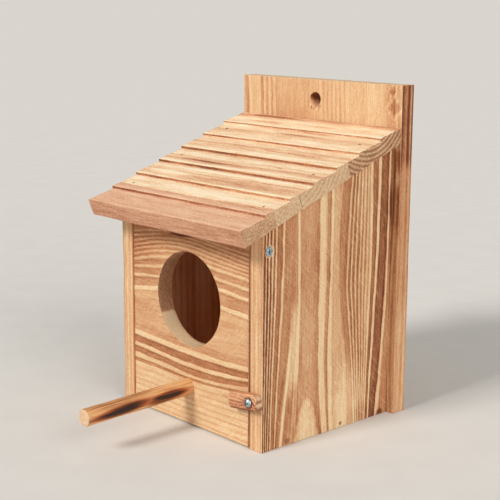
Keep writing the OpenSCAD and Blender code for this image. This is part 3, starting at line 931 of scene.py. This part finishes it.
def course_top(u):
    """The roof's top over its underside: it falls by the step along each course, then rises again at the
    next crest, whose nose is rounded over 1.2 mm."""
    since = np.mod(u - FIRST_CREST, COURSE)
    fall = BOARD_T - COURSE_STEP * since / COURSE
    climb = BOARD_T - COURSE_STEP * (1 - smooth(since / RISER) * 0.86)
    nose = BOARD_T - COURSE_STEP * 0.14 * np.clip(1 - (since - RISER) / 1.2, 0, 1) ** 2
    return np.where(since < RISER, climb, np.minimum(fall, nose))


def roof_stave(number, u_lo, u_hi, finish, slot):
    """One stave of the roof: place up the slope by width by share of the thickness at that place. The last
    one ends plumb against the back board: its rear face leans back by the slope."""
    nails = [u for u in ROOF_NAILS if u_lo < u < u_hi]
    a = stops(u_lo, u_hi, 0.8, nails, reach=1.9, fine=0.4, ease=0.4)
    climb = np.array([-0.3, -0.02, 0.07, 0.14, 0.21, 0.28, 0.5, 0.8, 1.2, 1.6])
    for crest in FIRST_CREST + COURSE * np.arange(0, 8):
        if u_lo + 1 < crest < u_hi - 1:
            a = np.concatenate([a[(a < crest - 0.35) | (a > crest + 1.7)], crest + climb])
    a = np.unique(np.round(a, 4))
    c = stops(roof_lo[0], roof_hi[0], 2.4, [-NAIL_OUT, NAIL_OUT], reach=1.9, fine=0.45, ease=0.5)
    points, quads = weld(slab_grids(a, c, stops(0, BOARD_T, 0.5, ease=0.4)))
    points = ease_edges(points, (a[0], c[0], 0), (a[-1], c[-1], BOARD_T), 0.4)
    spots = [(u, side * NAIL_OUT) for side in (-1, 1) for u in nails]
    for spot in spots:
        sink(points, spot, functools.partial(nail_dent, shown=0.8))
    u, x, share = points.T.copy()
    thick = course_top(u) * share / BOARD_T
    if number == len(STAVE_EDGES) - 1:
        end = u_hi - BOARD_T * math.tan(SLOPE) * (1 - thick / BOARD_T)
        u = u_lo + (u - u_lo) * (end - u_lo) / (u_hi - u_lo)
    since = np.mod(u - FIRST_CREST, COURSE)
    on_top = smooth((share - 9.5) / 2)
    ring = u + 1.5 * np.sin(x / 37 + number) * smooth(u / 20) + (BOARD_T - share) * 0.5
    # Each riser is dark, most so to the left, with a pale crest above it, partly pale wood and partly a
    # painted highlight, and a brown line below it.
    tone = (0.52 + 0.16 * smooth(-x / 70)) * line(since - 0.1, 0.55) - 0.16 * line(since - 1.9, 1.5)
    tone += 0.16 * smooth((since - COURSE + 0.9) / 0.8)
    tone = (tone + patches(u + 0.02 * x, x, ROOF_STREAKS)) * on_top
    for u_nail, x_nail in spots:
        tone += 0.12 * smooth((NAIL_R + 0.2 - np.hypot(u - u_nail, x - x_nail)) / 0.7) * on_top
    inside = smooth((CHAMBER_X - np.abs(x)) / 1.5) * smooth((1 - share) / 0.5) * smooth((u - 33) / 2)
    tone += 0.2 * smooth((0.8 - u) / 0.4)
    y = EAVE_Y + u * math.cos(SLOPE) - thick * math.sin(SLOPE)
    z = EAVE_Z + u * math.sin(SLOPE) + thick * math.cos(SLOPE)
    lifted = np.stack([x, y, z], 1)
    shell, normal = skin(lifted, quads)
    cut = end_grain(normal[:, 0])
    centre_u, centre_n, spacing, depth, level = END_RINGS[number - 1]
    arcs = np.sin(np.hypot(u - centre_u, thick - centre_n) * 2 * math.pi / spacing)
    tone = tone * (1 - cut) + cut * (level + depth * arcs)
    char = char_at(ring, ROOF_BANDS) + tone
    lifted = relief(lifted, normal, char * (1 - cut), 0.2, 50 + number, 0)
    values = {"ring": ring, "tone": tone, "cut": cut, "inside": inside}
    piece(f"roof_board_{number}", lifted, shell, values, finish, "box", slot, f"roof_stave_{number}")


# ---- Perch and turn button ----


def perch_dowel():
    """A dowel: a circle carried along its axis, with eased ends that close at a pole."""
    length = PERCH_OUT + PERCH_IN
    ease = 0.9
    bend = np.linspace(0, math.pi / 2, 7)
    inner, outer = ease * (1 - np.cos(bend))[1:], length - ease * (1 - np.sin(bend))[1:]
    middle = np.linspace(ease, length - ease, 70)[1:]
    along = np.concatenate([[0, 0, 0, 0], inner, middle, outer, [length, length, length]])
    widen, narrow = PERCH_R - ease * (1 - np.sin(bend))[1:], PERCH_R - ease * (1 - np.cos(bend))[1:]
    pole = [0, 1.8, 3.6]
    even = np.full(len(middle), PERCH_R)
    radius = np.concatenate([pole, [PERCH_R - ease], widen, even, narrow, pole[::-1]])
    turn = np.linspace(0, 2 * math.pi, 97)[:, None]
    grid = np.stack([radius * np.cos(turn), along + 0 * turn, radius * np.sin(turn)], -1)
    grid[-1] = grid[0]
    points, quads = weld([(grid, False, None)])
    across, out, up = points.T
    out = out - PERCH_IN
    # The torch caught the lower right flank in two long licks.
    angle = np.arctan2(up, across) + math.radians(3)
    flank = (np.mod(angle + math.pi, 2 * math.pi) - math.pi) * PERCH_R
    scorch = np.zeros(len(points))
    for centre, reach, width in ((22.5, 14.0, 2.9), (59.0, 19.0, 2.8)):
        off = np.hypot((flank + 0.04 * (out - centre)) / width, (out - centre) / reach)
        scorch = np.maximum(scorch, smooth((1.6 - off) / 1.35))
    tip = smooth((out - PERCH_OUT + 0.4) / 0.3)
    y = FRONT_Y - out * math.cos(PERCH_DROOP) - up * math.sin(PERCH_DROOP)
    z = PERCH_Z - out * math.sin(PERCH_DROOP) + up * math.cos(PERCH_DROOP)
    shell, normal = skin(np.stack([across, y, z], 1), quads)
    dips = 0.1 * (1 + waves(points, 61, (5, 30, 5)))
    lifted = np.stack([across, y, z], 1) - normal * np.clip(dips, 0, None)[:, None]
    values = {"scorch": scorch, "cut": tip}
    finish = scorched_beech("perch_wood_scorched_beech")
    piece("perch_rod", lifted, shell, values, finish, "door", "perch_wood", "perch")


def button_outline():
    """The button's outline, seen from the front with its screw at the origin: round corners at its long
    end and one corner cut off at its tail, as points at even steps and at every corner."""
    far, half = BUTTON_TAIL - BUTTON_L, BUTTON_W / 2
    arc = np.linspace(0, math.pi / 2, 9)
    round_x, round_z = BUTTON_CORNER * (1 - np.sin(arc)), BUTTON_CORNER * (1 - np.cos(arc))
    low_left = np.stack([far + round_x, -half + round_z], 1)[::-1]
    tail = [[BUTTON_TAIL, -half], [BUTTON_TAIL, half - BUTTON_CORNER], [BUTTON_TAIL - BUTTON_CORNER, half]]
    corners = np.concatenate([low_left, tail, low_left[::-1] * (1, -1)])
    corners = np.concatenate([corners, corners[:1]])
    length = np.concatenate([[0], np.cumsum(np.linalg.norm(np.diff(corners, axis=0), axis=1))])
    even = np.unique(np.concatenate([np.linspace(0, length[-1], 150), length]))
    outline = np.stack([np.interp(even, length, corners[:, k]) for k in (0, 1)], 1)
    outline[-1] = outline[0]
    return outline


def turn_button_block():
    """The turn button: its outline is carried through its thickness, with eased rims, and each broad face
    runs in straight lines from the outline to the screw's bore."""
    outline = button_outline()
    bore = outline / np.linalg.norm(outline, axis=1)[:, None] * BUTTON_BORE
    spoke = (outline - bore)[:, None]
    run = np.linalg.norm(outline - bore, axis=1)[:, None]
    ease = 0.7
    bend = np.linspace(0, math.pi / 2, 6)
    inset = ease * (1 - np.sin(bend))
    drop = ease * (1 - np.cos(bend))
    face = bore[:, None] + spoke * (np.linspace(0, 1, 12)[None, :] * (1 - ease / run))[..., None]
    rim = bore[:, None] + spoke * (1 - inset[None, :] / run)[..., None]
    walls = np.linspace(ease, BUTTON_T - ease, 6)[1:-1]
    wall = np.repeat(outline[:, None], len(walls), axis=1)
    inner = np.linspace(BUTTON_T, 0, 5)[1:-1]
    lining = np.repeat(bore[:, None], len(inner), axis=1)
    around = [face, rim[:, 1:], wall, rim[:, ::-1], face[:, ::-1][:, 1:], lining, face[:, :1]]
    plan = np.concatenate(around, 1)
    back = [BUTTON_T - drop[::-1], np.full(11, BUTTON_T), inner, [0]]
    depth = np.concatenate([np.zeros(12), drop[1:], walls, *back])
    grid = np.concatenate([plan, np.broadcast_to(depth[None, :, None], plan.shape[:2] + (1,))], 2)
    points, quads = weld([(grid, False, None)])
    p, q, deep = points.T
    c, s = math.cos(BUTTON_TILT), math.sin(BUTTON_TILT)
    front = FRONT_Y - BUTTON_GAP - BUTTON_T
    lifted = np.stack([BUTTON_AT[0] + p * c - q * s, front + deep, BUTTON_AT[1] + p * s + q * c], 1)
    shell, normal = skin(lifted, quads)
    cut = end_grain(normal[:, 0] * c + normal[:, 2] * s, 1.5, 0.3)
    lifted -= normal * (0.09 * np.clip(1 + waves(points, 71, (12, 2.5, 4)), 0, None))[:, None]
    # The rings bend round the bore. The front rim has a painted highlight above and painted shade below, a
    # painted shadow of the screw lies round it, darkest in a crescent on its right, the lower edge has
    # painted shade, and char lies in a mottle at the tail.
    ring = q + 12 + 1.6 * np.exp(-((p / 5.0) ** 2)) * np.sign(q) + 0.06 * p + 0.5 * deep
    r = np.hypot(p, q)
    rim_highlight_and_shade = line(deep - 0.35, 0.5) * (r > 3)
    tone = 0.12 - 0.5 * rim_highlight_and_shade * smooth(q / 2 + 0.5) + 0.5 * rim_highlight_and_shade * smooth(0.5 - q / 2) + 0.1 * cut
    # Painted shadow round the screw, darkest on its right, and painted shade along the lower edge.
    tone += (0.35 + 0.6 * smooth(p / 2)) * smooth((4.3 - r) / 0.7) + 0.3 * smooth(-q / 1.5 - 2.2)
    tone += 0.3 * smooth(p / 2 - 1.6) * np.sin(1.9 * p + 1.4 * q)
    values = {"ring": ring, "tone": tone, "cut": cut, "inside": 0 * cut}
    piece("turn_button_block", lifted, shell, values, button_wood, "button", "button_wood", "turn_button")


side_panel("side_panel_right", 1, "right_side")
side_panel("side_panel_left", -1, "left_side")
front_panel()
back_panel()
bottom_panel()
roof_stave(1, *STAVE_EDGES[:2], eave_wood, "roof_wood_pink")
for number in (2, 3, 4):
    roof_stave(number, *STAVE_EDGES[number - 1 : number + 1], roof_wood, "roof_wood")
perch_dowel()
turn_button_block()

zinc = plated_steel("screw_steel_zinc_plated", "#cfdadf", "#93a3ab", 0.34)
nail_steel = plated_steel("nail_steel_bare_wire", "#c4a080", "#946e4e", 0.55)
for node_name, node_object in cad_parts.items():
    metal = nail_steel if "nails" in node_name else zinc if "screw" in node_name else None
    if metal:
        node_object.data.materials.clear()
        node_object.data.materials.append(metal)


# ---- Floor, light and camera ----


def studio_floor():
    """A wide flat plane just under the box."""
    reach = 40.0
    mesh = bpy.data.meshes.new("studio_floor")
    corners = [(-reach, -reach, 0), (reach, -reach, 0), (reach, reach, 0), (-reach, reach, 0)]
    mesh.from_pydata(corners, [], [(0, 1, 2, 3)])
    mesh.materials.append(matt_paint("studio_floor_matt_paint"))
    floor = bpy.data.objects.new("studio_floor", mesh)
    bpy.context.scene.collection.objects.link(floor)


def turned_object(name, data, place, turn):
    """A lamp or camera at a place, turned by a quaternion."""
    made = bpy.data.objects.new(name, data)
    made.location = place
    made.rotation_mode = "QUATERNION"
    made.rotation_quaternion = turn
    bpy.context.scene.collection.objects.link(made)
    return made


def lamp(name, place, target, spread, strength, colour):
    """A far soft light on the line from a place to a target: spread is the angle it fills, in degrees."""
    data = bpy.data.lights.new(name, "SUN")
    data.angle = math.radians(spread)
    data.energy = strength
    data.color = linear(colour)[:3]
    turned_object(name, data, place, (Vector(target) - Vector(place)).to_track_quat("-Z", "Y"))


def studio_air():
    """The air lights the scene softly, and looks as pale as the floor where it shows above it."""
    world = bpy.data.worlds.new("studio_air")
    world.use_nodes = True
    world.node_tree.nodes.clear()
    node = functools.partial(add, world.node_tree)
    seen = node("ShaderNodeLightPath").outputs["Is Camera Ray"]
    hue = node(MIX, {0: seen, 6: linear("#f4f2ee"), 7: linear("#d9d5ce")}, data_type="RGBA")
    glow = node(MIX, {0: seen, 2: 0.42, 3: 1.0}, data_type="FLOAT")
    air = node("ShaderNodeBackground", {"Color": hue, "Strength": glow})
    node("ShaderNodeOutputWorld", {"Surface": air})
    bpy.context.scene.world = world


def turned_by(yaw, pitch, roll):
    """The turn of a camera that looks along +Y, then turned left by yaw, down by pitch, and rolled."""
    level = Vector((math.cos(yaw), math.sin(yaw), 0.0))
    flat = Vector((-math.sin(yaw), math.cos(yaw), 0.0))
    ahead = flat * math.cos(pitch) - Vector((0.0, 0.0, math.sin(pitch)))
    above = level.cross(ahead)
    right = level * math.cos(roll) + above * math.sin(roll)
    above = above * math.cos(roll) - level * math.sin(roll)
    return Matrix((right, above, -ahead)).transposed().to_quaternion()


studio_floor()
studio_air()
MIDDLE = (0.0, -0.07, 0.11)
lamp("key_light", (-0.1, -1.35, 1.05), MIDDLE, 17, 1.98, "#fffcf8")
lamp("fill_light", (1.5, -0.35, 0.75), MIDDLE, 42, 1.42, "#fffdfa")
bpy.context.scene.view_settings.view_transform = "Standard"

CAMERA_AT = (0.5919, -0.6204, 0.2804)
CAMERA_TURN = turned_by(math.radians(47.42), math.radians(11.73), math.radians(0.306))
camera_data = bpy.data.cameras.new("camera")
camera_data.sensor_width = 36.0
camera_data.lens = 85.68
camera_data.clip_start = 0.05
bpy.context.scene.camera = turned_object("camera", camera_data, CAMERA_AT, CAMERA_TURN)
